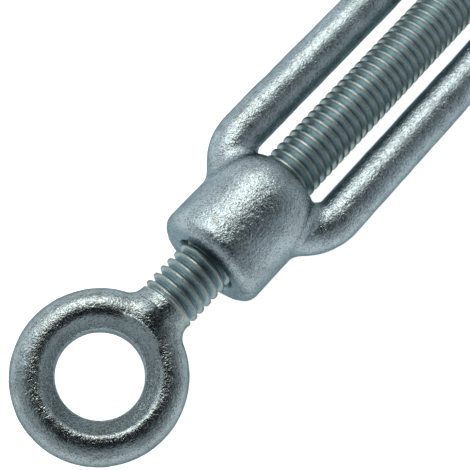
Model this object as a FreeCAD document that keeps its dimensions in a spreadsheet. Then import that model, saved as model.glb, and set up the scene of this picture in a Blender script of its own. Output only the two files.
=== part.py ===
import FreeCAD, Part
import Sketcher
import math
import os

# Open-body rigging turnbuckle, M6 coarse thread, eye and eye.
# Millimetres.  X runs along the threads, the two side bars and both eyes lie flat in the XY plane,
# +Z is up, and the origin is the middle of the body.  The eye bolt at -X has a left-hand thread,
# the one at +X a right-hand thread, so that turning the body draws both eyes in together.

os.makedirs("parts", exist_ok=True)
doc = FreeCAD.newDocument("RiggingTurnbuckle")

DIMENSIONS = [
    # the forged body
    ("body_length", 110.0, "outer face to outer face of the two bosses"),
    ("boss_radius", 5.85, "threaded boss, outside"),
    ("boss_depth", 12.25, "outer face of a boss to the end of the window"),
    ("boss_edge_round", 1.5, "rounded outer rim of a boss"),
    ("dome_start", 7.75, "outer face of a boss to where its inner end starts to round in"),
    ("dome_radius", 6.0, "radius of the rounded inner end of a boss"),
    ("bar_radius", 2.41, "round side bar"),
    ("bar_offset", 6.65, "turnbuckle axis to the centreline of a side bar"),
    ("shoulder_depth", 13.45, "outer face of a boss to where the bars become straight"),
    ("shoulder_radius", 5.6, "bend of a bar's centreline at the shoulder"),
    ("root_depth", 6.15, "outer face of a boss to where the bar roots cross the axis"),
    ("root_radius", 3.0, "bend of a bar's centreline inside the boss"),
    ("shoulder_angle", 45.0, "slope of the shoulder against the axis, degrees"),
    ("web_round", 1.5, "forging radius between the bars and a boss"),
    ("mouth_radius", 3.45, "countersink at both ends of a threaded bore"),
    # the thread
    ("pitch", 1.0, "M6 coarse"),
    ("thread_radius", 3.0, "over the crests of the bolt's thread"),
    ("thread_depth", 0.61, "crest to root of the bolt's thread"),
    ("root_flat", 0.125, "width of the flat at the bottom of the bolt's groove"),
    ("bore_flat", 0.16, "width of the flat at the bottom of the bore's groove"),
    ("flank_slope", 0.5774, "run of a 60 degree thread's flank for each unit of depth"),
    ("thread_play", 0.2, "radial play between bolt and bore"),
    ("cutter_overrun", 0.08, "how far a thread cutter stands clear of the crests"),
    ("groove_lead", -0.15, "start of the thread to the middle of its first groove"),
    ("turns_outside", 5.5, "pitches from the bolt's first groove to the bore's first one"),
    # an eye bolt, measured from the centre of its eye
    ("ring_radius", 6.28, "centreline of the eye's ring"),
    ("ring_section", 2.18, "radius of the ring's round section"),
    ("land_radius", 4.23, "short cylindrical land inside the eye"),
    ("neck_root", 6.2, "eye centre to where the neck starts inside the ring"),
    ("neck_root_radius", 2.05, "neck radius inside the ring"),
    ("neck_shoulder", 8.0, "eye centre to where the neck is at full size"),
    ("neck_radius", 2.9, "plain neck beside the ring"),
    ("neck_fillet", 1.6, "forging radius between ring and neck"),
    ("thread_start", 9.2, "eye centre to the first turn of the thread"),
    ("exposed_thread", 5.75, "thread outside the boss at rest"),
    ("bolt_length", 62.0, "eye centre to the end of the thread"),
    ("point_length", 2.0, "plain turned point past the thread"),
    ("point_radius", 2.2, "plain turned point"),
    ("end_chamfer", 0.5, "chamfer on the end of the thread and of the point"),
]

sheet = doc.addObject("Spreadsheet::Sheet", "Dimensions")
for row, (alias, size, meaning) in enumerate(DIMENSIONS, start=1):
    sheet.set("A%d" % row, meaning)
    sheet.set("B%d" % row, str(size))
    sheet.setAlias("B%d" % row, alias)
doc.recompute()

WORDS = sorted((alias for alias, size, meaning in DIMENSIONS), key=len, reverse=True)


def cells(formula):
    """The formula with every dimension's name turned into its spreadsheet cell."""
    out = []
    for word in formula.replace("(", " ( ").replace(")", " ) ").split():
        out.append("Dimensions." + word if word in WORDS else word)
    return " ".join(out)


def value(formula):
    """The number that a formula of dimension names gives, for a sketch's first guess."""
    return float(sheet.evalExpression(cells(formula)))


def new_body(label):
    body = doc.addObject("PartDesign::Body", label)
    body.Label = label
    return body


def origin_plane(body, role):
    return next(plane for plane in body.Origin.OriginFeatures if plane.Role == role)


def new_sketch(body, name, role):
    sketch = body.newObject("Sketcher::SketchObject", name)
    sketch.AttachmentSupport = [(origin_plane(body, role), "")]
    sketch.MapMode = "FlatFace"
    return sketch


def pin(sketch, geometry, point, across, up):
    """Dimension one point of a sketch from the origin, each coordinate bound to its formula."""
    for kind, axis, formula in (("DistanceX", -2, across), ("DistanceY", -1, up)):
        if formula is None:
            continue
        if formula == "0":
            sketch.addConstraint(Sketcher.Constraint("PointOnObject", geometry, point, axis))
            continue
        index = sketch.addConstraint(
            Sketcher.Constraint(kind, -1, 1, geometry, point, value(formula)))
        sketch.setExpression("Constraints[%d]" % index, cells(formula))


def outline(sketch, corners):
    """A closed outline with straight sides through corners given as pairs of formulas."""
    points = [FreeCAD.Vector(value(across), value(up), 0) for across, up in corners]
    for k, point in enumerate(points):
        sketch.addGeometry(Part.LineSegment(point, points[(k + 1) % len(points)]), False)
    for k, (across, up) in enumerate(corners):
        sketch.addConstraint(Sketcher.Constraint("Coincident", k, 2, (k + 1) % len(points), 1))
        pin(sketch, k, 1, across, up)


def feature(body, kind, name, profile, **settings):
    """A PartDesign feature on a profile; sizes given as text are bound as formulas."""
    made = body.newObject("PartDesign::" + kind, name)
    made.Profile = profile
    for key, setting in settings.items():
        if isinstance(setting, str) and key not in ("Mode", "Type"):
            made.setExpression(key, cells(setting))
        else:
            setattr(made, key, setting)
    profile.Visibility = False
    doc.recompute()
    return made


def mirror(body, name, role):
    """The whole shape so far together with its mirror image in one of the body's planes."""
    made = body.newObject("PartDesign::Mirrored", name)
    made.TransformMode = "Whole shape"
    made.MirrorPlane = (origin_plane(body, role), [""])
    body.Tip = made
    doc.recompute()


def edges_where(made, test):
    """Names of the edges of a feature's shape that pass the test."""
    return ["Edge%d" % (k + 1) for k, edge in enumerate(made.Shape.Edges) if test(edge)]


def fillet(body, name, base, edges, radius):
    """A Fillet on some edges of the last feature, its radius bound to the sheet."""
    made = body.newObject("PartDesign::Fillet", name)
    made.Base = (base, edges)
    made.setExpression("Radius", cells(radius))
    doc.recompute()


def thread_profile(sketch, middle, clear, deep, flat):
    """A thread cutter's trapezoid, from outside the crests (clear) to the groove's bottom (deep)."""
    depth = value("( %s ) - ( %s )" % (clear, deep))
    reach = "( ( %s ) - ( %s ) )" % ((clear, deep) if depth > 0 else (deep, clear))
    wide = "( %s / 2 + flank_slope * %s )" % (flat, reach)
    outline(sketch, [("%s - %s / 2" % (middle, flat), deep), ("%s + %s / 2" % (middle, flat), deep),
                     ("%s + %s" % (middle, wide), clear), ("%s - %s" % (middle, wide), clear)])


# ---------------------------------------------------------------- forged body

def boss_profile(sketch):
    """Half outline of a boss above the axis, in a sketch whose origin is the middle of the body."""
    face = "0 - body_length / 2"
    inner = "boss_depth - body_length / 2"
    dome = "dome_start - body_length / 2"
    rim = "boss_edge_round - body_length / 2"
    vector = FreeCAD.Vector
    normal = vector(0, 0, 1)
    top = value("boss_radius")
    edge = value("boss_edge_round")
    big = value("dome_radius")
    reach = value("boss_depth - dome_start")
    dome_angle = math.asin(reach / big)
    dome_end = top - big * (1 - math.cos(dome_angle))
    corners = [vector(value(face), 0, 0), vector(value(face), top - edge, 0),
               vector(value(rim), top, 0), vector(value(dome), top, 0),
               vector(value(inner), dome_end, 0), vector(value(inner), 0, 0)]
    sketch.addGeometry(Part.LineSegment(corners[0], corners[1]), False)
    sketch.addGeometry(Part.ArcOfCircle(
        Part.Circle(vector(value(rim), top - edge, 0), normal, edge), math.pi / 2, math.pi), False)
    sketch.addGeometry(Part.LineSegment(corners[2], corners[3]), False)
    sketch.addGeometry(Part.ArcOfCircle(
        Part.Circle(vector(value(dome), top - big, 0), normal, big),
        math.pi / 2 - dome_angle, math.pi / 2), False)
    sketch.addGeometry(Part.LineSegment(corners[4], corners[5]), False)
    sketch.addGeometry(Part.LineSegment(corners[5], corners[0]), False)
    # lines run corner to corner; the arcs run anticlockwise, so each starts at its later corner
    for first, end, second, start in ((0, 2, 1, 2), (1, 1, 2, 1), (2, 2, 3, 2)):
        sketch.addConstraint(Sketcher.Constraint("Tangent", first, end, second, start))
    for first, end, second, start in ((3, 1, 4, 1), (4, 2, 5, 1), (5, 2, 0, 1)):
        sketch.addConstraint(Sketcher.Constraint("Coincident", first, end, second, start))
    sketch.addConstraint(Sketcher.Constraint("Vertical", 0))
    sketch.addConstraint(Sketcher.Constraint("Horizontal", 2))
    sketch.addConstraint(Sketcher.Constraint("Vertical", 4))
    pin(sketch, 0, 1, face, "0")
    pin(sketch, 2, 2, dome, "boss_radius")
    pin(sketch, 4, 2, inner, "0")
    for arc, size in ((1, "boss_edge_round"), (3, "dome_radius")):
        index = sketch.addConstraint(Sketcher.Constraint("Radius", arc, value(size)))
        sketch.setExpression("Constraints[%d]" % index, cells(size))


def forged_body():
    """Two round bars bent together at the shoulders and run into a boss at each end."""
    body = new_body("turnbuckle_body")

    # the centreline of a quarter of the bars: bar, shoulder bend, slope, root bend, root
    path = new_sketch(body, "BarPath", "XY_Plane")
    bar = value("bar_offset")
    bend = value("shoulder_radius")
    root_bend = value("root_radius")
    slope = math.radians(value("shoulder_angle"))
    straight_end = value("shoulder_depth - body_length / 2")
    root = value("root_depth - body_length / 2")
    bend_end = (straight_end - bend * math.sin(slope), bar - bend * (1 - math.cos(slope)))
    root_x = root + root_bend * (1 - math.sin(slope))
    root_start = (root_x, bend_end[1] - (bend_end[0] - root_x) * math.tan(slope))
    root_end = (root, root_start[1] - root_bend * math.cos(slope))
    vector = FreeCAD.Vector
    normal = vector(0, 0, 1)
    quarter = math.pi / 2
    path.addGeometry(Part.LineSegment(vector(0, bar, 0), vector(straight_end, bar, 0)), False)
    path.addGeometry(Part.ArcOfCircle(
        Part.Circle(vector(straight_end, bar - bend, 0), normal, bend),
        quarter, quarter + slope), False)
    path.addGeometry(Part.LineSegment(vector(*bend_end, 0), vector(*root_start, 0)), False)
    path.addGeometry(Part.ArcOfCircle(
        Part.Circle(vector(root + root_bend, root_end[1], 0), normal, root_bend),
        quarter + slope, 2 * quarter), False)
    path.addGeometry(Part.LineSegment(vector(*root_end, 0), vector(root, 0, 0)), False)
    for first, end, second, start in ((0, 2, 1, 1), (1, 2, 2, 1), (2, 2, 3, 1), (3, 2, 4, 1)):
        path.addConstraint(Sketcher.Constraint("Tangent", first, end, second, start))
    pin(path, 0, 1, "0", "bar_offset")
    pin(path, 0, 2, "shoulder_depth - body_length / 2", None)
    path.addConstraint(Sketcher.Constraint("Horizontal", 0))
    path.addConstraint(Sketcher.Constraint("Vertical", 4))
    pin(path, 4, 2, "root_depth - body_length / 2", "0")
    for arc, size in ((1, "shoulder_radius"), (3, "root_radius")):
        index = path.addConstraint(Sketcher.Constraint("Radius", arc, value(size)))
        path.setExpression("Constraints[%d]" % index, cells(size))
    index = path.addConstraint(Sketcher.Constraint("Angle", -1, 1, 2, 2, slope))
    path.setExpression("Constraints[%d]" % index, cells("shoulder_angle"))
    path.Visibility = False

    section = new_sketch(body, "BarSection", "YZ_Plane")
    section.addGeometry(Part.Circle(vector(bar, 0, 0), normal, value("bar_radius")), False)
    pin(section, 0, 3, "bar_offset", "0")
    index = section.addConstraint(Sketcher.Constraint("Radius", 0, value("bar_radius")))
    section.setExpression("Constraints[%d]" % index, cells("bar_radius"))
    doc.recompute()

    feature(body, "AdditivePipe", "QuarterBar", section,
            Spine=(path, ["Edge%d" % (k + 1) for k in range(5)]))
    mirror(body, "BarPair", "XZ_Plane")

    # the boss: a round block, rounded at its outer rim and domed towards the window
    block = new_sketch(body, "BossProfile", "XY_Plane")
    boss_profile(block)
    boss = feature(body, "Revolution", "Boss", block,
                   ReferenceAxis=(block, ["H_Axis"]), Angle=360.0)
    junction = edges_where(boss, lambda edge: edge.Curve.TypeId == "Part::GeomBSplineCurve")
    fillet(body, "Web", boss, junction, "web_round")

    # the bore, countersunk at both mouths
    face = "0 - body_length / 2"
    inner = "boss_depth - body_length / 2"
    bore = "thread_radius - thread_depth + thread_play"
    sink = "mouth_radius - ( thread_radius - thread_depth + thread_play )"
    hole = new_sketch(body, "BoreProfile", "XY_Plane")
    outline(hole, [(face, "0"), (face, "mouth_radius"), (face + " + " + sink, bore),
                   (inner + " - ( " + sink + " )", bore), (inner, "mouth_radius"), (inner, "0")])
    feature(body, "Groove", "Bore", hole, ReferenceAxis=(hole, ["H_Axis"]), Angle=360.0)

    # the left-hand thread of the bore at -X; its grooves face the crests of the bolt
    first = "exposed_thread - groove_lead - turns_outside * pitch"
    groove = new_sketch(body, "BoreThreadProfile", "XZ_Plane")
    thread_profile(groove, "0 - body_length / 2 - ( " + first + " )", bore + " - cutter_overrun",
                   "thread_radius + thread_play", "bore_flat")
    feature(body, "SubtractiveHelix", "BoreThread", groove, ReferenceAxis=(groove, ["H_Axis"]),
            Mode="pitch-height-angle", Pitch="pitch", LeftHanded=True,
            Height="boss_depth + 2 * ( " + first + " )")

    mirror(body, "BothEnds", "YZ_Plane")
    return body


# ---------------------------------------------------------------- eye bolts

def eye_bolt(label, left_handed):
    """A forged eye, neck and threaded shank; the eye's centre is the origin, the shank is +X."""
    body = new_body(label)
    ring = new_sketch(body, "RingSection", "XZ_Plane")
    ring.addGeometry(Part.Circle(FreeCAD.Vector(value("0 - ring_radius"), 0, 0),
                                 FreeCAD.Vector(0, 0, 1), value("ring_section")), False)
    pin(ring, 0, 3, "0 - ring_radius", "0")
    index = ring.addConstraint(Sketcher.Constraint("Radius", 0, value("ring_section")))
    ring.setExpression("Constraints[%d]" % index, cells("ring_section"))
    feature(body, "Revolution", "Ring", ring, ReferenceAxis=(ring, ["V_Axis"]), Angle=360.0)

    # neck and shank, up to the end chamfer
    shank = new_sketch(body, "ShankProfile", "XZ_Plane")
    rise = "( thread_radius - neck_radius )"
    outline(shank, [("neck_root", "0"), ("neck_root", "neck_root_radius"),
                    ("neck_shoulder", "neck_radius"), ("thread_start - " + rise, "neck_radius"),
                    ("thread_start", "thread_radius"),
                    ("bolt_length - end_chamfer", "thread_radius"),
                    ("bolt_length", "thread_radius - end_chamfer"), ("bolt_length", "0")])
    neck = feature(body, "Revolution", "Shank", shank,
                   ReferenceAxis=(shank, ["H_Axis"]), Angle=360.0)
    corner = edges_where(neck, lambda edge: edge.Curve.TypeId == "Part::GeomBSplineCurve")
    fillet(body, "NeckFillet", neck, corner, "neck_fillet")

    # the short land that trimming leaves inside the eye
    land = new_sketch(body, "LandCircle", "XY_Plane")
    land.addGeometry(Part.Circle(FreeCAD.Vector(0, 0, 0), FreeCAD.Vector(0, 0, 1),
                                 value("land_radius")), False)
    pin(land, 0, 3, "0", "0")
    index = land.addConstraint(Sketcher.Constraint("Radius", 0, value("land_radius")))
    land.setExpression("Constraints[%d]" % index, cells("land_radius"))
    feature(body, "Pocket", "Land", land, Type="ThroughAll", Midplane=True)

    groove = new_sketch(body, "ThreadProfile", "XZ_Plane")
    start = "thread_start + groove_lead"
    thread_profile(groove, start, "thread_radius + cutter_overrun",
                   "thread_radius - thread_depth", "root_flat")
    feature(body, "SubtractiveHelix", "Thread", groove, ReferenceAxis=(groove, ["H_Axis"]),
            Mode="pitch-height-angle", Pitch="pitch", LeftHanded=left_handed,
            Height="bolt_length - thread_start - groove_lead + pitch")
    return body


def bolt_point(label):
    """The plain turned point on the end of a shank, in the same frame as its eye bolt."""
    body = new_body(label)
    profile = new_sketch(body, "PointProfile", "XZ_Plane")
    end = "bolt_length + point_length"
    outline(profile, [("bolt_length", "0"), ("bolt_length", "point_radius"),
                      (end + " - end_chamfer", "point_radius"),
                      (end, "point_radius - end_chamfer"), (end, "0")])
    feature(body, "Revolution", "Point", profile, ReferenceAxis=(profile, ["H_Axis"]), Angle=360.0)
    return body


def stand_at_end(body, turn):
    """Put an eye bolt or its point at one end: turned half a turn about Z for the +X end."""
    body.Placement = FreeCAD.Placement(
        FreeCAD.Vector(0, 0, 0), FreeCAD.Rotation(FreeCAD.Vector(0, 0, 1), turn))
    side = "" if turn else "0 - "
    body.setExpression("Placement.Base.x", cells(
        side + "( body_length / 2 + exposed_thread + thread_start )"))


forged_body()
for label, left_handed, turn in (("left_hand", True, 0), ("right_hand", False, 180)):
    stand_at_end(eye_bolt(label + "_eye_bolt", left_handed), turn)
    stand_at_end(bolt_point(label + "_bolt_tip"), turn)
doc.recompute()

# ---------------------------------------------------------------- checks and files

for item in doc.Objects:
    if "Invalid" in item.State or "Error" in item.State:
        raise RuntimeError("%s failed: %s" % (item.Label, item.State))
sub_parts = [item for item in doc.Objects if item.TypeId == "PartDesign::Body"]
for body in sub_parts:
    if body.Shape.isNull() or not body.Shape.isValid() or len(body.Shape.Solids) != 1:
        raise RuntimeError("%s is not one sound solid" % body.Label)
for body in sub_parts:
    body.Shape.exportStep("parts/%s.step" % body.Label)
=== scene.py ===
import math

import bpy
import numpy as np
from mathutils import Matrix, Vector


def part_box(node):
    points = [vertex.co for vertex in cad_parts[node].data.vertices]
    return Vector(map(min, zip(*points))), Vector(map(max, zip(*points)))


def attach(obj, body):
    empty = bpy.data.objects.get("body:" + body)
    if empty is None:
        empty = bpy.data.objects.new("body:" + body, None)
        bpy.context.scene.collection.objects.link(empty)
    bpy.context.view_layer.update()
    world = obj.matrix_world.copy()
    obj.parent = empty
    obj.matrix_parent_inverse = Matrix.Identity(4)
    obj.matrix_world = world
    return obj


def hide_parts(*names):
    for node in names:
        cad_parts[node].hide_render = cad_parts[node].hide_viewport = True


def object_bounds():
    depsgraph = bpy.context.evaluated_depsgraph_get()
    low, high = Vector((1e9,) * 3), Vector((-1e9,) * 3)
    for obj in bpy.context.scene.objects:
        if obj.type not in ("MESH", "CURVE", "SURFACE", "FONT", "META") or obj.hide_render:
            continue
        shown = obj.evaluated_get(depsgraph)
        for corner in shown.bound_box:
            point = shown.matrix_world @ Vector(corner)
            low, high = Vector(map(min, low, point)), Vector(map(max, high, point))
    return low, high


# Open-body rigging turnbuckle, M6 thread, eye and eye.  Metres; X runs along the threads, the side
# bars and the eyes lie flat in the XY plane, Z is up.  Shapes are worked out in millimetres and
# scaled as they go into a mesh.

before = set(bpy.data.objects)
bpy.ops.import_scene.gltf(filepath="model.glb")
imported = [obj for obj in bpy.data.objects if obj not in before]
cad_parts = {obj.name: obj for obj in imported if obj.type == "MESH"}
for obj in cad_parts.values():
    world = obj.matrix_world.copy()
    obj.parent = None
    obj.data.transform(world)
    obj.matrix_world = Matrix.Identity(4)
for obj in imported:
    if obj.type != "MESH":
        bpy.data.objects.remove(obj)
cad_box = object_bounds()

# ---------------------------------------------------------------- camera
# Close over the left-hand eye, looking down and along the threads towards the body, turned so that
# the part runs from the lower left of the view to the upper right.

CAMERA_PLACE = Vector((-0.08359, -0.00763, 0.09920))
CAMERA_AIM = Vector((-0.05059, -0.00014, 0.0))
CAMERA_TOP = Vector((0.69083, 0.66653, 0.28017))
SENSOR_WIDTH = 36.0
LENS = 80.19

view = (CAMERA_AIM - CAMERA_PLACE).normalized()
side = view.cross(CAMERA_TOP).normalized()
top = side.cross(view)
camera_data = bpy.data.cameras.new("view_camera")
camera_data.sensor_width = SENSOR_WIDTH
camera_data.lens = LENS
camera_data.clip_start = 0.005
camera_data.clip_end = 20.0
camera = bpy.data.objects.new("view_camera", camera_data)
camera.matrix_world = Matrix.Translation(CAMERA_PLACE) @ Matrix((side, top, -view)).transposed().to_4x4()
bpy.context.scene.collection.objects.link(camera)
bpy.context.scene.camera = camera

# ---------------------------------------------------------------- forged body
# One steel forging, zinc coated: two round side bars bent in at the shoulders and run into a boss at
# each end.  The bosses are bored and tapped, left-hand at -X and right-hand at +X, and countersunk
# at both mouths; the dies leave the surface a little uneven.

MM = 0.001
BODY_HALF = 55.0
BOSS_RADIUS = 5.85
BOSS_INNER = 42.75
BOSS_RIM = 1.3
DOME_START = 47.25
DOME_RADIUS = 6.0
DOME_CORNER = 0.7
BAR_RADIUS = 2.41
BAR_OFFSET = 6.65
BAR_STRAIGHT = 41.55
SHOULDER_BEND = 5.6
SHOULDER_SLOPE = math.radians(45)
SLOPE_LENGTH = 2.6
WEB_ROUND = 1.5
MOUTH_RADIUS = 3.45
PITCH = 1.0
THREAD_DEPTH = 0.61
BORE_CREST = 2.59
BORE_FIRST_GROOVE = -55.4
FORGING_UNEVEN = 0.028
EASE_REACH, EASE_DEPTH = 0.45, 0.11
RAY_STEPS, RAY_PACE = 45, 0.85
BAR_STATIONS, BEND_STATIONS, SLOPE_STATIONS, BAR_COLUMNS = 96, 22, 8, 56
SLOPE_RUN = 1.35
BOSS_COLUMNS = 128
GUIDE_DEPTH = 1.2
SHELL_SINK = 0.45


def uneven(points, size, seed):
    """Gentle dents between -1 and 1: eight waves of random direction, each bent by the one before."""
    draw = np.random.default_rng(seed)
    total = np.zeros(points.shape[:-1])
    for _ in range(8):
        way = draw.normal(size=3)
        way *= 2 * math.pi / (size * draw.uniform(0.7, 1.6)) / np.linalg.norm(way)
        total = total + np.sin(points @ way + 1.3 * total + draw.uniform(0, 2 * math.pi))
    return total / 4.5


def smoothstep(low, high, at):
    """0 below low, 1 above high, with an S-shaped rise between them."""
    part = np.clip((at - low) / (high - low), 0, 1)
    return part * part * (3 - 2 * part)


def corner_level(first, second, radius):
    """Where two walls meet at an outer corner: the larger level, rounded to the given radius."""
    out = np.hypot(np.maximum(first + radius, 0), np.maximum(second + radius, 0))
    return out + np.minimum(np.maximum(first, second) + radius, 0) - radius


def filleted(first, second, points, radius):
    """Level of two joined solids with a ball of the given radius rolled along the seam.  The ball's
    centre is one radius off both walls, and the angle between the walls is taken from their slopes.
    Close to where the two levels are equal, the smaller one is eased down, so no crease is left where
    the walls are nearly in line."""
    a, b = first(points), second(points)
    step = 1e-3
    turn = 0
    for axis in np.eye(3):
        turn = turn + (first(points + step * axis) - a) * (second(points + step * axis) - b) / step ** 2
    turn = np.clip(turn, -0.9, 0.98)
    from_a, from_b = radius - a, radius - b
    between = (from_a > turn * from_b) & (from_b > turn * from_a) & (from_a > 0) & (from_b > 0)
    ball = np.sqrt(np.maximum(from_a ** 2 + from_b ** 2 - 2 * turn * from_a * from_b, 0) / (1 - turn ** 2))
    ease = np.maximum(1 - np.abs(a - b) / (EASE_REACH * radius), 0)
    eased = np.minimum(a, b) - EASE_DEPTH * radius * ease * ease
    return np.minimum(np.where(between, radius - ball, eased), eased)


def ray_lengths(level, start, way, limit):
    """How far each ray runs inside the metal: it steps on by its depth until the level is zero."""
    length = np.zeros(start.shape[:-1])
    for _ in range(RAY_STEPS):
        length = np.clip(length - RAY_PACE * level(start + way * length[..., None]), 0, limit)
    return length


def bar_level(points):
    """Distance to a side bar's skin: to its centreline of straight, arc and slope, less the radius."""
    along, off = np.abs(points[..., 0]), np.abs(points[..., 1])
    straight = np.hypot(np.maximum(along - BAR_STRAIGHT, 0), off - BAR_OFFSET)
    pivot = BAR_OFFSET - SHOULDER_BEND
    angle = np.clip(np.arctan2(off - pivot, along - BAR_STRAIGHT), SHOULDER_SLOPE, math.pi / 2)
    arc = np.hypot(along - BAR_STRAIGHT - SHOULDER_BEND * np.cos(angle),
                   off - pivot - SHOULDER_BEND * np.sin(angle))
    ax = BAR_STRAIGHT + SHOULDER_BEND * math.sin(SHOULDER_SLOPE)
    ay = pivot + SHOULDER_BEND * math.cos(SHOULDER_SLOPE)
    run = np.clip((along - ax) * math.cos(SHOULDER_SLOPE) - (off - ay) * math.sin(SHOULDER_SLOPE),
                  0, SLOPE_LENGTH)
    slope = np.hypot(along - ax - run * math.cos(SHOULDER_SLOPE),
                     off - ay + run * math.sin(SHOULDER_SLOPE))
    return np.hypot(np.minimum(np.minimum(straight, arc), slope), points[..., 2]) - BAR_RADIUS


def boss_level(points):
    """Distance to a boss's skin: cylinder, rounded outer rim, and an inner end domed on an arc."""
    along = np.abs(points[..., 0])
    out = np.hypot(points[..., 1], points[..., 2])
    block = corner_level(out - BOSS_RADIUS, along - BODY_HALF, BOSS_RIM)
    dome = np.where(along < DOME_START,
                    np.hypot(along - DOME_START, out - BOSS_RADIUS + DOME_RADIUS) - DOME_RADIUS,
                    out - BOSS_RADIUS)
    return np.maximum(block, corner_level(dome, BOSS_INNER - along, DOME_CORNER))


def body_level(points):
    """Distance to the forging's skin, webs and die marks included."""
    skin = filleted(bar_level, boss_level, points, WEB_ROUND)
    return skin + FORGING_UNEVEN * uneven(points, 4.5, 5) + 0.4 * FORGING_UNEVEN * uneven(points, 1.7, 6)


def thread_wave(phase):
    """A 60 degree thread across one pitch: 0 at the root, 1 at the crest, both slightly rounded."""
    across = np.abs((phase + 0.5) % 1.0 - 0.5)
    part = np.clip((across - 0.045) / 0.345, 0, 1)
    return 0.6 * part + 0.4 * part * part * (3 - 2 * part)


def looped_quads(rows, columns):
    """Faces of a grid that closes on itself both ways."""
    row, column = np.meshgrid(np.arange(rows), np.arange(columns), indexing="ij")
    row_next, column_next = (row + 1) % rows, (column + 1) % columns
    return np.stack([row * columns + column, row * columns + column_next,
                     row_next * columns + column_next, row_next * columns + column], -1).reshape(-1, 4)


def joined_mesh(name, shells):
    """One object from closed shells, each a set of points in millimetres and its faces wound to face
    outwards, with edges sharper than 55 degrees kept crisp."""
    places, faces, offset = [], [], 0
    for points, shell_faces in shells:
        places.append(points.reshape(-1, 3) * MM)
        for block in shell_faces:
            faces += (block + offset).tolist()
        offset += len(places[-1])
    mesh = bpy.data.meshes.new(name)
    mesh.from_pydata(np.concatenate(places).tolist(), [], faces)
    mesh.update()
    mesh.shade_smooth()
    mesh.set_sharp_from_angle(angle=math.radians(55))
    made = bpy.data.objects.new(name, mesh)
    bpy.context.scene.collection.objects.link(made)
    return made


def bar_shell(side_sign):
    """A side bar from boss to boss: rays in the planes square to its centreline, stopped at the
    forging's skin, and sunk a little where the boss's own surface takes over.  Stations lie on the
    straight, the bend and the slope of one half, and the other half mirrors them."""
    pivot = BAR_OFFSET - SHOULDER_BEND
    turn = np.linspace(0, SHOULDER_SLOPE, BEND_STATIONS)
    run = np.linspace(0, SLOPE_RUN, SLOPE_STATIONS + 1)[1:]
    tip = (BAR_STRAIGHT + SHOULDER_BEND * math.sin(SHOULDER_SLOPE),
           pivot + SHOULDER_BEND * math.cos(SHOULDER_SLOPE))
    along = np.concatenate([np.linspace(0, BAR_STRAIGHT, BAR_STATIONS)[:-1],
                            BAR_STRAIGHT + SHOULDER_BEND * np.sin(turn),
                            tip[0] + run * math.cos(SHOULDER_SLOPE)])
    off = np.concatenate([np.full(BAR_STATIONS - 1, BAR_OFFSET), pivot + SHOULDER_BEND * np.cos(turn),
                          tip[1] - run * math.sin(SHOULDER_SLOPE)])
    lean = np.concatenate([np.zeros(BAR_STATIONS - 1), turn, np.full(SLOPE_STATIONS, SHOULDER_SLOPE)])
    along = np.concatenate([-along[:0:-1], along])
    off = np.concatenate([off[:0:-1], off])
    lean = np.concatenate([-lean[:0:-1], lean])
    around = np.linspace(0, 2 * math.pi, BAR_COLUMNS, endpoint=False)
    centre = np.stack([along, side_sign * off, 0 * along], -1)[:, None]
    outward = np.stack([np.sin(lean), side_sign * np.cos(lean), 0 * lean], -1)[:, None]
    way = outward * np.cos(around)[None, :, None] + np.array([0, 0, 1.0]) * np.sin(around)[None, :, None]
    way = way * np.ones((len(along), 1, 1))
    start = centre * np.ones((1, len(around), 1))

    def solid(points):
        bore = MOUTH_RADIUS - 0.1 - np.hypot(points[..., 1], points[..., 2])
        return np.maximum(body_level(points), bore)

    length = ray_lengths(solid, start, way, BAR_RADIUS + 1.4)
    skin = start + way * length[..., None]
    owner = boss_level(skin) - bar_level(skin)
    length = np.maximum(length - SHELL_SINK * smoothstep(-0.25, 0.4, -owner), 0.2)
    skin = start + way * length[..., None]
    rows, columns = skin.shape[:2]
    count = rows * columns
    quads = looped_quads(rows, columns)[: (rows - 1) * columns]
    ring = np.arange(columns)
    caps = [np.stack([np.full(columns, count), (ring + 1) % columns, ring], -1),
            np.stack([np.full(columns, count + 1), count - columns + ring,
                      count - columns + (ring + 1) % columns], -1)]
    points = np.concatenate([skin.reshape(-1, 3), centre[0], centre[-1]])
    faces = [quads] + caps
    if side_sign > 0:
        return points, faces
    return points, [block[:, ::-1] for block in faces]


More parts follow.
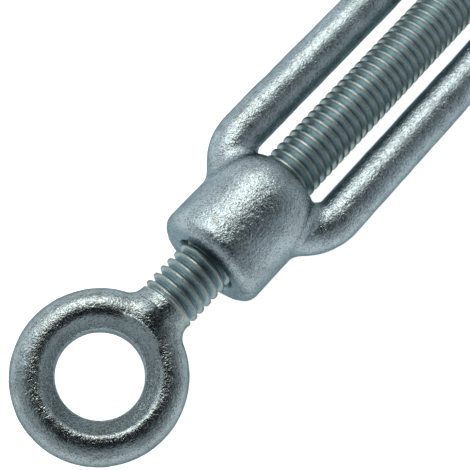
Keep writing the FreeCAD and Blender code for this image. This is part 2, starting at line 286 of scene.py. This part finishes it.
def boss_shell(end):
    """A boss as a profile carried round the thread axis and closed through its tapped bore.  Outside,
    rays along the profile's normals are stopped at the forging's skin; they sink where a bar's own
    surface takes over.  Inside, the radius follows the thread, which climbs a pitch a turn."""
    around = np.linspace(0, 2 * math.pi, BOSS_COLUMNS, endpoint=False)
    face_out = np.linspace(MOUTH_RADIUS, BOSS_RADIUS - BOSS_RIM, 8)[:-1]
    rim = np.linspace(0, math.pi / 2, 10)
    barrel = np.linspace(BODY_HALF - BOSS_RIM, DOME_START, 20)[1:]
    dome_end = math.asin((DOME_START - BOSS_INNER - 0.35) / DOME_RADIUS)
    dome = np.linspace(0, dome_end, 18)[1:]
    corner = np.linspace(dome_end, math.pi / 2, 9)[1:]
    last = (DOME_START - DOME_RADIUS * math.sin(dome_end),
            BOSS_RADIUS - DOME_RADIUS * (1 - math.cos(dome_end)))
    corner_middle = (last[0] + 0.5 * math.sin(dome_end), last[1] - 0.5 * math.cos(dome_end))
    base = np.concatenate([
        np.stack([0 * face_out + BODY_HALF, face_out], -1),
        np.stack([BODY_HALF - BOSS_RIM + BOSS_RIM * np.cos(rim),
                  BOSS_RADIUS - BOSS_RIM + BOSS_RIM * np.sin(rim)], -1),
        np.stack([barrel, 0 * barrel + BOSS_RADIUS], -1),
        np.stack([DOME_START - DOME_RADIUS * np.sin(dome),
                  BOSS_RADIUS - DOME_RADIUS * (1 - np.cos(dome))], -1),
        np.stack([corner_middle[0] - 0.5 * np.sin(corner),
                  corner_middle[1] + 0.5 * np.cos(corner)], -1)])
    normal = np.concatenate([
        np.stack([1 + 0 * face_out, 0 * face_out], -1), np.stack([np.cos(rim), np.sin(rim)], -1),
        np.stack([0 * barrel, 1 + 0 * barrel], -1), np.stack([-np.sin(dome), np.cos(dome)], -1),
        np.stack([-np.sin(corner), np.cos(corner)], -1)])
    start_flat = base - GUIDE_DEPTH * normal

    def turned(flat):
        return np.stack([flat[:, None, 0] + 0 * around, flat[:, None, 1] * np.sin(around),
                         flat[:, None, 1] * np.cos(around)], -1)

    start, way = turned(start_flat), turned(normal)
    length = ray_lengths(body_level, start, way, GUIDE_DEPTH + WEB_ROUND)
    skin = start + way * length[..., None]
    owner = boss_level(skin) - bar_level(skin)
    length = length - SHELL_SINK * smoothstep(0.75, 1.4, owner)
    skin = start + way * length[..., None]

    # countersinks and thread, from the inner mouth back to the outer one
    sink = MOUTH_RADIUS - BORE_CREST
    inner_sink = np.linspace(0, 1, 6)[1:, None, None]
    bore = np.arange(BOSS_INNER + sink, BODY_HALF - sink, PITCH / 9)
    phase = (-bore[:, None] - BORE_FIRST_GROOVE) / PITCH - around / (2 * math.pi)
    depth = THREAD_DEPTH * (1 - thread_wave(phase))
    at_end = np.minimum(bore - bore[0], bore[-1] - bore)[:, None]
    radius = BORE_CREST + depth * smoothstep(0.0, 0.3, at_end)
    wall = np.stack([bore[:, None] + 0 * around, radius * np.sin(around), radius * np.cos(around)], -1)
    first_sink = skin[-1] * (1 - inner_sink) + wall[0] * inner_sink
    last_sink = wall[-1] * (1 - inner_sink) + skin[0] * inner_sink
    grid = np.concatenate([skin, first_sink[:-1], wall, last_sink[:-1]])
    quads = looped_quads(*grid.shape[:2])
    if end < 0:
        grid = grid * np.array([-1.0, 1, 1])
        return grid, [quads[:, ::-1]]
    return grid, [quads]


body = joined_mesh("forged_turnbuckle_body",
                   [bar_shell(1), bar_shell(-1), boss_shell(-1), boss_shell(1)])


def pitted_zinc(name, tint, seed, rough, grain, threaded):
    """Zinc on a forged skin: mottled blue-grey metal, orange-peel bumps, fine pits, dark specks and
    faint stains; grain is the height of the bumps in metres.  Where the threading attribute rises, a
    threaded piece has flatter bumps and the bluish and yellowish film of a passivated coating, with
    painted shade darkening the thread's root and a darker crest painted to damp its highlight."""
    material = bpy.data.materials.new(name)
    material.use_nodes = True
    nodes, links = material.node_tree.nodes, material.node_tree.links
    nodes.clear()
    output = nodes.new("ShaderNodeOutputMaterial")
    shader = nodes.new("ShaderNodeBsdfPrincipled")
    shader.inputs["Metallic"].default_value = 1.0
    shader.inputs["Specular Tint"].default_value = (0.28, 0.35, 0.39, 1)
    links.new(shader.outputs["BSDF"], output.inputs["Surface"])
    place = nodes.new("ShaderNodeTexCoord")
    scale = nodes.new("ShaderNodeMapping")
    scale.inputs["Scale"].default_value = (1000, 1000, 1000)
    scale.inputs["Location"].default_value = (seed, 2 * seed, -seed)
    links.new(place.outputs["Object"], scale.inputs["Vector"])

    def noise(size, detail, roughness=0.55, warp=0.0):
        node = nodes.new("ShaderNodeTexNoise")
        node.inputs["Scale"].default_value = 1 / size
        node.inputs["Detail"].default_value = detail
        node.inputs["Roughness"].default_value = roughness
        node.inputs["Distortion"].default_value = warp
        links.new(scale.outputs["Vector"], node.inputs["Vector"])
        return node.outputs["Fac"]

    def ramp(value, stops):
        node = nodes.new("ShaderNodeValToRGB")
        while len(node.color_ramp.elements) < len(stops):
            node.color_ramp.elements.new(0.5)
        for element, (position, colour) in zip(node.color_ramp.elements, stops):
            element.position = position
            element.color = (*colour, 1) if len(colour) == 3 else (colour[0],) * 3 + (1,)
        links.new(value, node.inputs["Fac"])
        return node.outputs["Color"]

    def mixed(kind, factor, first, second):
        node = nodes.new("ShaderNodeMix")
        node.data_type = "RGBA"
        node.blend_type = kind
        for socket, value in (("Factor_Float", factor), ("A_Color", first), ("B_Color", second)):
            target = next(s for s in node.inputs if s.identifier == socket)
            if isinstance(value, bpy.types.NodeSocket):
                links.new(value, target)
            else:
                target.default_value = value
        return next(s for s in node.outputs if s.identifier == "Result_Color")

    pale = tuple(1.15 * c for c in tint)
    dull = tuple(0.84 * c for c in tint)
    colour = ramp(noise(2.6, 5, 0.6, 0.4), [(0.34, dull), (0.5, tint), (0.66, pale)])
    speckle = ramp(noise(0.16, 3), [(0.35, (0.30, 0.30, 0.29)), (0.47, (1.04, 1.04, 1.04))])
    colour = mixed("MULTIPLY", 0.8, colour, speckle)
    stain = ramp(noise(1.3, 6, 0.75, 0.8), [(0.56, (0.0,)), (0.64, (0.4,))])
    colour = mixed("MIX", stain, colour, (0.13, 0.115, 0.085, 1))
    roughness = ramp(noise(0.6, 4), [(0.3, (rough - 0.06,)), (0.7, (rough + 0.10,))])

    def bump(height, distance, strength, before=None):
        node = nodes.new("ShaderNodeBump")
        node.inputs["Distance"].default_value = distance
        links.new(height, node.inputs["Height"])
        if isinstance(strength, bpy.types.NodeSocket):
            links.new(strength, node.inputs["Strength"])
        else:
            node.inputs["Strength"].default_value = strength
        if before is not None:
            links.new(before, node.inputs["Normal"])
        return node.outputs["Normal"]

    keep = 1.0
    if threaded:
        mask = nodes.new("ShaderNodeAttribute")
        mask.attribute_name = "threading"
        groove = nodes.new("ShaderNodeAttribute")
        groove.attribute_name = "crest_height"
        # painted shade: the thread's root is darkened as if shaded in the groove, and the crest is darkened
        # to damp the highlight it catches; the bluish and yellowish bands between are the coating's film
        thread_film_and_groove_shade = ramp(groove.outputs["Fac"], [(0.0, (0.20, 0.245, 0.265)), (0.22, (0.37, 0.48, 0.53)),
                                             (0.55, (0.46, 0.59, 0.63)), (0.82, (0.42, 0.48, 0.41)),
                                             (1.0, (0.26, 0.30, 0.30))])
        film_and_painted_shade = mixed("MULTIPLY", 0.6, thread_film_and_groove_shade, speckle)
        colour = mixed("MIX", mask.outputs["Fac"], colour, film_and_painted_shade)
        smooth = ramp(noise(0.5, 3), [(0.3, (0.36,)), (0.7, (0.52,))])
        roughness = mixed("MIX", mask.outputs["Fac"], roughness, smooth)
        fade = nodes.new("ShaderNodeMapRange")
        fade.inputs["To Min"].default_value = 1.0
        fade.inputs["To Max"].default_value = 0.25
        links.new(mask.outputs["Fac"], fade.inputs["Value"])
        keep = fade.outputs["Result"]
    pits = nodes.new("ShaderNodeTexVoronoi")
    pits.inputs["Scale"].default_value = 3.2
    links.new(scale.outputs["Vector"], pits.inputs["Vector"])
    pit_height = ramp(pits.outputs["Distance"], [(0.05, (0.0,)), (0.4, (1.0,))])
    normal = bump(noise(1.1, 3), 0.000022, keep)
    normal = bump(pit_height, 0.000016, keep, normal)
    normal = bump(noise(0.34, 2), grain, keep, normal)
    normal = bump(noise(0.15, 3, 0.65), 0.75 * grain, keep, normal)
    links.new(colour, shader.inputs["Base Color"])
    links.new(roughness, shader.inputs["Roughness"])
    links.new(normal, shader.inputs["Normal"])
    return material


body_zinc = pitted_zinc("zinc_on_forged_body", tint=(0.305, 0.365, 0.39), seed=3.0, rough=0.20,
                        grain=0.00006, threaded=False)
body.data.materials.append(body_zinc)
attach(body, "body")
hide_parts("turnbuckle_body")

# ---------------------------------------------------------------- eye bolts
# Two steel forgings, zinc coated: a round-section eye, a short swelling neck and an M6 shank with a
# rolled thread, left-hand at -X and right-hand at +X.  A short land is left inside the eye where the
# flash was punched out, with the punch's cone above and below it, a little off centre.  The first
# turn of the thread runs out shallow beside the neck.

RING_RADIUS = 6.28
RING_SECTION = 2.18
LAND_RADIUS = 4.23
NECK_START, NECK_START_RADIUS = 6.2, 2.05
NECK_RADIUS = 2.9
SWELL_START, SWELL_END = 5.4, 9.0
NECK_FILLET = 1.6
CREST_RADIUS = 3.0
FIRST_GROOVE = 9.05
SHANK_END = 62.0
END_CHAMFER = 0.5
CONE_OUTER, CONE_HEIGHT, PUNCH_SHIFT = 5.55, 2.05, 0.14
EDGE_ROUND = 0.12
RING_CUT = 8.75
SEAM_MIDDLE, SEAM_HALF, SEAM_SLOPE = 8.3, 0.2, 0.05
RING_STATIONS, RING_COLUMNS, RING_CROWDING = 288, 100, 0.45
ROWS_PER_TURN = 48
LEAD_IN, DISC_PLACE, LEAD_OUT = 2.0, 0.9, 1.6


def ring_level(points):
    """Distance to the eye's ring, a round section carried round a circle."""
    return np.hypot(np.hypot(points[..., 0], points[..., 1]) - RING_RADIUS, points[..., 2]) - RING_SECTION


def neck_level(points):
    """Distance to the neck: an oval whose thickness swells along an S-curve until it is as round and
    as thick as the shank; the level of the oval is divided by its slope."""
    rise = np.clip((points[..., 0] - SWELL_START) / (SWELL_END - SWELL_START), 0, 1)
    grow = NECK_RADIUS - NECK_START_RADIUS
    thick = NECK_START_RADIUS + grow * rise * rise * (3 - 2 * rise)
    steepness = grow * 6 * rise * (1 - rise) / (SWELL_END - SWELL_START) / thick
    squash = NECK_RADIUS / thick
    out = np.hypot(points[..., 1], points[..., 2] * squash) + 1e-9
    tall = (points[..., 2] * squash) ** 2 / out
    slope = np.hypot(np.hypot(points[..., 1], points[..., 2] * squash ** 2) / out, tall * steepness)
    return np.maximum((out - NECK_RADIUS) / np.maximum(slope, 0.5), NECK_START - points[..., 0])


def eye_level(points):
    """Distance to the eye and its neck, with the forging radius and the die marks, cut by the punch's
    cone and by the land's cylinder."""
    skin = filleted(ring_level, neck_level, points, NECK_FILLET)
    skin = skin + 0.02 * uneven(points, 4.0, 11) + 0.008 * uneven(points, 1.6, 12)
    from_land = np.hypot(points[..., 0], points[..., 1]) - LAND_RADIUS
    from_punch = np.hypot(points[..., 0] + PUNCH_SHIFT, points[..., 1] + PUNCH_SHIFT) - LAND_RADIUS
    land_half = math.sqrt(RING_SECTION ** 2 - (RING_RADIUS - LAND_RADIUS) ** 2)
    across, up = CONE_OUTER - LAND_RADIUS, CONE_HEIGHT - land_half
    cone = (across * (np.abs(points[..., 2]) - land_half) - up * from_punch) / math.hypot(across, up)
    return corner_level(corner_level(skin, cone, EDGE_ROUND), -from_land, EDGE_ROUND)


def ring_shell():
    """The eye: rays from the ring's centreline out to the forging's skin, closer together beside the
    neck.  Rays that run down the neck end on a plane inside it.  Across the seam this skin slopes
    gently under the shank's."""
    evenly = np.linspace(0, 2 * math.pi, RING_STATIONS, endpoint=False)
    round_eye = (evenly - RING_CROWDING * np.sin(evenly))[:, None]
    section = np.linspace(0, 2 * math.pi, RING_COLUMNS, endpoint=False)[None]
    out = np.stack([np.cos(round_eye), np.sin(round_eye), 0 * round_eye], -1)
    way = out * np.cos(section)[..., None] + np.array([0, 0, 1.0]) * np.sin(section)[..., None]
    start = RING_RADIUS * out * np.ones((1, section.shape[1], 1))
    length = ray_lengths(eye_level, start, way, 7.0)
    to_cut = np.where(way[..., 0] > 1e-6, (RING_CUT - start[..., 0]) / np.maximum(way[..., 0], 1e-6), 99.0)
    skin = start + way * np.minimum(length, to_cut)[..., None]
    sunk = 1 - SEAM_SLOPE * np.maximum(skin[..., 0] - SEAM_MIDDLE + SEAM_HALF, 0) / NECK_RADIUS
    skin = skin * np.stack([np.ones_like(sunk), sunk, sunk], -1)
    return skin, [looped_quads(*skin.shape[:2])]


def shank_shell():
    """The neck's end and the threaded shank as one strip, a pitch wide, wound along the helix: the
    radius is the thread's wave between root and crest, shallow at the run-out, and not less than the
    neck and its fillet.  Both ends are closed with a disc on the axis.  Also gives, for each point,
    how much thread there is and how high on the thread it lies, both from 0 to 1."""
    across = np.array([0, .045, .10, .18, .26, .33, .39, .45, .55, .61, .67, .74, .82, .90, .955])
    columns = len(across)
    # the strip begins on a groove's phase, and its first turn is folded into the disc
    start = FIRST_GROOVE - LEAD_IN
    disc = start + DISC_PLACE
    rows = int(round((SHANK_END + LEAD_OUT - start) / PITCH * ROWS_PER_TURN))
    turn = np.arange(rows)[:, None] / ROWS_PER_TURN
    reach = start + PITCH * (turn + across[None])
    angle = 2 * math.pi * turn + 0 * across
    x = np.clip(reach, disc, SHANK_END)
    out = np.stack([0 * angle, np.sin(angle), np.cos(angle)], -1)
    axis = np.stack([x, 0 * x, 0 * x], -1)
    near = x < FIRST_GROOVE + 1.45
    fillet = np.zeros_like(x)
    fillet[near] = ray_lengths(eye_level, axis[near], out[near], 6.0)
    wave = thread_wave(across[None] + 0 * turn)
    run_out = smoothstep(FIRST_GROOVE - 0.1, FIRST_GROOVE + 0.4, reach)
    crest = NECK_RADIUS + (CREST_RADIUS - NECK_RADIUS) * smoothstep(FIRST_GROOVE, FIRST_GROOVE + 0.5, reach)
    crest = np.minimum(crest, CREST_RADIUS - (reach - SHANK_END + END_CHAMFER))
    radius = np.maximum(fillet, crest)
    radius = np.minimum(radius, np.maximum(radius, CREST_RADIUS) - THREAD_DEPTH * run_out * (1 - wave))
    closing = np.clip((reach - SHANK_END) / LEAD_OUT, 0, 1)
    radius = np.where(reach > SHANK_END, (CREST_RADIUS - END_CHAMFER) * (1 - 0.85 * closing), radius)
    opening = np.clip(disc - reach, 0, 1)
    radius = radius - SEAM_SLOPE * np.maximum(SEAM_MIDDLE + SEAM_HALF - x, 0)
    radius = radius * (1 - 0.8 * opening)
    skin = axis + out * radius[..., None]
    # the last column of a row joins the first column of the row one turn further on
    index = np.arange(rows * columns).reshape(rows, columns)
    wide = np.full((rows, columns + 1), -1)
    wide[:, :columns] = index
    wide[:rows - ROWS_PER_TURN, columns] = index[ROWS_PER_TURN:, 0]
    quads = np.stack([wide[:-1, :-1], wide[1:, :-1], wide[1:, 1:], wide[:-1, 1:]], -1).reshape(-1, 4)
    quads = quads[quads.min(axis=1) >= 0]
    first = np.concatenate([index[ROWS_PER_TURN:0:-1, 0], index[0]])
    final = np.concatenate([index[rows - 1 - ROWS_PER_TURN:, columns - 1], index[-1, -2::-1]])
    poles = np.array([[disc, 0, 0], [SHANK_END, 0, 0]])
    count = rows * columns
    fans = [np.stack([np.full(len(first), count), first, np.roll(first, -1)], -1),
            np.stack([np.full(len(final), count + 1), final, np.roll(final, -1)], -1)]
    threading = smoothstep(FIRST_GROOVE - 0.3, FIRST_GROOVE + 0.6, reach)
    height = np.clip((radius - CREST_RADIUS + THREAD_DEPTH) / THREAD_DEPTH, 0, 1)
    marks = [np.concatenate([value.reshape(-1), (1.0, 1.0)]) for value in (threading, height)]
    return np.concatenate([skin.reshape(-1, 3), poles]), [quads] + fans, marks


eye_centre = (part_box("left_hand_eye_bolt")[0][0] / MM) + RING_RADIUS + RING_SECTION
ring_points, ring_faces = ring_shell()
shank_points, shank_faces, shank_marks = shank_shell()
ring_count = ring_points.shape[0] * ring_points.shape[1]
eye_zinc = pitted_zinc("zinc_on_eye_bolts", tint=(0.265, 0.312, 0.322), seed=41.0, rough=0.17,
                       grain=0.000046, threaded=True)
# the right-hand bolt is the left-hand one mirrored in the YZ plane, with its faces turned round
for hand, sign in (("left_hand", 1.0), ("right_hand", -1.0)):
    to_place = np.array([sign, 1.0, 1.0])
    shift = np.array([sign * eye_centre, 0, 0])
    order = slice(None, None, -int(sign))
    bolt = joined_mesh(hand + "_forged_eye_bolt", [
        (ring_points * to_place + shift, [block[:, order] for block in ring_faces]),
        (shank_points * to_place + shift, [block[:, order] for block in shank_faces])])
    for mark, on_ring, on_shank in (("threading", 0.0, shank_marks[0]),
                                    ("crest_height", 1.0, shank_marks[1])):
        values = np.concatenate([np.full(ring_count, on_ring), on_shank])
        attribute = bolt.data.attributes.new(mark, "FLOAT", "POINT")
        attribute.data.foreach_set("value", values.astype(np.float32))
    bolt.data.materials.append(eye_zinc)
    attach(bolt, hand + "_bolt")
    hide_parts(hand + "_eye_bolt")

# ---------------------------------------------------------------- bolt points
# The plain turned point past the last thread of each shank: steel cut on a lathe, with fine turning
# marks, a chamfered end and a shallow centre-drilled dimple, then zinc coated with the bolt.

POINT_RADIUS = 2.2
POINT_LENGTH = 2.0
POINT_COLUMNS = 72
TURNING_DEPTH, TURNING_WAVE = 0.008, 40
DIMPLE_RADIUS, DIMPLE_SLOPE = 0.75, 0.6


def point_shell(end):
    """A profile turned round the axis, from the shank to its free end at x = end: flat back, barrel
    with fine turning rings, chamfer, face and a dimple, with a fan on the axis at both ends."""
    barrel = np.linspace(0.0, POINT_LENGTH - END_CHAMFER, 22)
    chamfer = np.linspace(0, END_CHAMFER, 5)[1:]
    face = np.linspace(POINT_RADIUS - END_CHAMFER, DIMPLE_RADIUS, 6)[1:]
    dimple = np.linspace(DIMPLE_RADIUS, 0.1, 6)[1:]
    along = np.concatenate([[0, 0], barrel, POINT_LENGTH - END_CHAMFER + chamfer,
                            POINT_LENGTH + 0 * face, POINT_LENGTH - DIMPLE_SLOPE * (DIMPLE_RADIUS - dimple)])
    rings = TURNING_DEPTH * np.cos(barrel * TURNING_WAVE) - TURNING_DEPTH
    radius = np.concatenate([[0.4, POINT_RADIUS - 0.1], POINT_RADIUS + rings,
                             POINT_RADIUS - chamfer, face, dimple])
    around = np.linspace(0, 2 * math.pi, POINT_COLUMNS, endpoint=False)
    inward = -np.sign(end)
    x = (end + inward * (along - POINT_LENGTH))[:, None] + 0 * around
    skin = np.stack([x, radius[:, None] * np.sin(around), radius[:, None] * np.cos(around)], -1)
    rows, columns = skin.shape[:2]
    count = rows * columns
    ring = np.arange(columns)
    faces = [looped_quads(rows, columns)[: (rows - 1) * columns],
             np.stack([np.full(columns, count), (ring + 1) % columns, ring], -1),
             np.stack([np.full(columns, count + 1), count - columns + ring,
                       count - columns + (ring + 1) % columns], -1)]
    points = np.concatenate([skin.reshape(-1, 3), [[x[0, 0], 0, 0], [x[-1, 0], 0, 0]]])
    if end > 0:
        return points, faces
    return points, [block[:, ::-1] for block in faces]


def turned_zinc(name):
    """Zinc on a turned surface: fine rings square to the axis over a faint mottle."""
    material = bpy.data.materials.new(name)
    material.use_nodes = True
    nodes, links = material.node_tree.nodes, material.node_tree.links
    shader = nodes["Principled BSDF"]
    shader.inputs["Metallic"].default_value = 1.0
    place = nodes.new("ShaderNodeTexCoord")
    mottle = nodes.new("ShaderNodeTexNoise")
    mottle.inputs["Scale"].default_value = 900
    mottle.inputs["Detail"].default_value = 5
    links.new(place.outputs["Object"], mottle.inputs["Vector"])
    tone = nodes.new("ShaderNodeValToRGB")
    tone.color_ramp.elements[0].position, tone.color_ramp.elements[0].color = 0.3, (0.42, 0.45, 0.48, 1)
    tone.color_ramp.elements[1].position, tone.color_ramp.elements[1].color = 0.7, (0.66, 0.69, 0.72, 1)
    links.new(mottle.outputs["Fac"], tone.inputs["Fac"])
    links.new(tone.outputs["Color"], shader.inputs["Base Color"])
    rings = nodes.new("ShaderNodeTexWave")
    rings.bands_direction = "X"
    rings.inputs["Scale"].default_value = 900
    rings.inputs["Distortion"].default_value = 0.6
    links.new(place.outputs["Object"], rings.inputs["Vector"])
    gloss = nodes.new("ShaderNodeValToRGB")
    gloss.color_ramp.elements[0].color = (0.24, 0.24, 0.24, 1)
    gloss.color_ramp.elements[1].color = (0.36, 0.36, 0.36, 1)
    links.new(rings.outputs["Fac"], gloss.inputs["Fac"])
    links.new(gloss.outputs["Color"], shader.inputs["Roughness"])
    bump = nodes.new("ShaderNodeBump")
    bump.inputs["Distance"].default_value = 0.000006
    links.new(rings.outputs["Fac"], bump.inputs["Height"])
    links.new(bump.outputs["Normal"], shader.inputs["Normal"])
    return material


point_zinc = turned_zinc("zinc_on_turned_points")
for hand, sign in (("left_hand", -1.0), ("right_hand", 1.0)):
    node_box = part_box(hand + "_bolt_tip")
    inner_end = node_box[1][0] if sign < 0 else node_box[0][0]
    point = joined_mesh(hand + "_turned_point", [point_shell(inner_end / MM)])
    point.data.materials.append(point_zinc)
    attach(point, hand + "_travel")
    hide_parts(hand + "_bolt_tip")

# ---------------------------------------------------------------- studio
# A pale lit table under the part and a light tent: bright all round and dark overhead, where the
# camera looks through it and beside that, with two soft boxes on the +Y side.

TABLE_SIZE = 3.0
CAMERA_OPENING = Vector((-0.137, -0.08, 0.987)).normalized()
SIDE_OPENING = Vector((0.34, -0.38, 0.86)).normalized()
SIDE_OPENING_LESS = 0.11

bottom = cad_box[0][2]
table_mesh = bpy.data.meshes.new("studio_table")
table_mesh.from_pydata([(-TABLE_SIZE, -TABLE_SIZE, bottom), (TABLE_SIZE, -TABLE_SIZE, bottom),
                        (TABLE_SIZE, TABLE_SIZE, bottom), (-TABLE_SIZE, TABLE_SIZE, bottom)],
                       [], [(0, 1, 2, 3)])
table = bpy.data.objects.new("studio_table", table_mesh)
bpy.context.scene.collection.objects.link(table)
paper = bpy.data.materials.new("lit_acrylic_table")
paper.use_nodes = True
acrylic = paper.node_tree.nodes["Principled BSDF"]
acrylic.inputs["Base Color"].default_value = (0.9, 0.9, 0.9, 1)
acrylic.inputs["Roughness"].default_value = 0.9
acrylic.inputs["Emission Color"].default_value = (1.0, 1.0, 1.0, 1)
acrylic.inputs["Emission Strength"].default_value = 0.8
table_mesh.materials.append(paper)

tent = bpy.data.worlds.new("light_tent")
bpy.context.scene.world = tent
tent.use_nodes = True
sky, join = tent.node_tree.nodes, tent.node_tree.links
background = sky["Background"]
direction = sky.new("ShaderNodeTexCoord")
overhead = sky.new("ShaderNodeVectorMath")
overhead.operation = "DOT_PRODUCT"
overhead.inputs[1].default_value = CAMERA_OPENING
join.new(direction.outputs["Generated"], overhead.inputs[0])
tone = sky.new("ShaderNodeValToRGB")
tone.color_ramp.elements[0].position, tone.color_ramp.elements[0].color = 0.10, (0.66, 0.72, 0.76, 1)
tone.color_ramp.elements[1].position, tone.color_ramp.elements[1].color = 0.905, (0.008, 0.008, 0.008, 1)
tone.color_ramp.elements.new(0.72).color = (0.60, 0.65, 0.68, 1)
tone.color_ramp.elements.new(0.83).color = (0.30, 0.32, 0.33, 1)
beside = sky.new("ShaderNodeVectorMath")
beside.operation = "DOT_PRODUCT"
beside.inputs[1].default_value = SIDE_OPENING
join.new(direction.outputs["Generated"], beside.inputs[0])
lesser = sky.new("ShaderNodeMath")
lesser.operation = "SUBTRACT"
lesser.inputs[1].default_value = SIDE_OPENING_LESS
join.new(beside.outputs["Value"], lesser.inputs[0])
nearest = sky.new("ShaderNodeMath")
nearest.operation = "MAXIMUM"
join.new(overhead.outputs["Value"], nearest.inputs[0])
join.new(lesser.outputs["Value"], nearest.inputs[1])
join.new(nearest.outputs["Value"], tone.inputs["Fac"])
join.new(tone.outputs["Color"], background.inputs["Color"])
background.inputs["Strength"].default_value = 1.0

for name, place, size, radiance, warmth in (
        ("soft_box_high", (0.20, 0.34, 0.44), 0.32, 5.2, (1.0, 0.95, 0.86)),
        ("soft_box_low", (-0.10, 0.52, 0.30), 0.24, 2.5, (1.0, 1.0, 1.0))):
    light_data = bpy.data.lights.new(name, "AREA")
    light_data.color = warmth
    light_data.size = size
    light_data.energy = radiance * math.pi * size ** 2
    light = bpy.data.objects.new(name, light_data)
    facing = (Vector((-0.05, 0, 0)) - Vector(place)).to_track_quat("-Z", "Y")
    light.matrix_world = Matrix.Translation(place) @ facing.to_matrix().to_4x4()
    bpy.context.scene.collection.objects.link(light)

bpy.context.scene.view_settings.view_transform = "Standard"
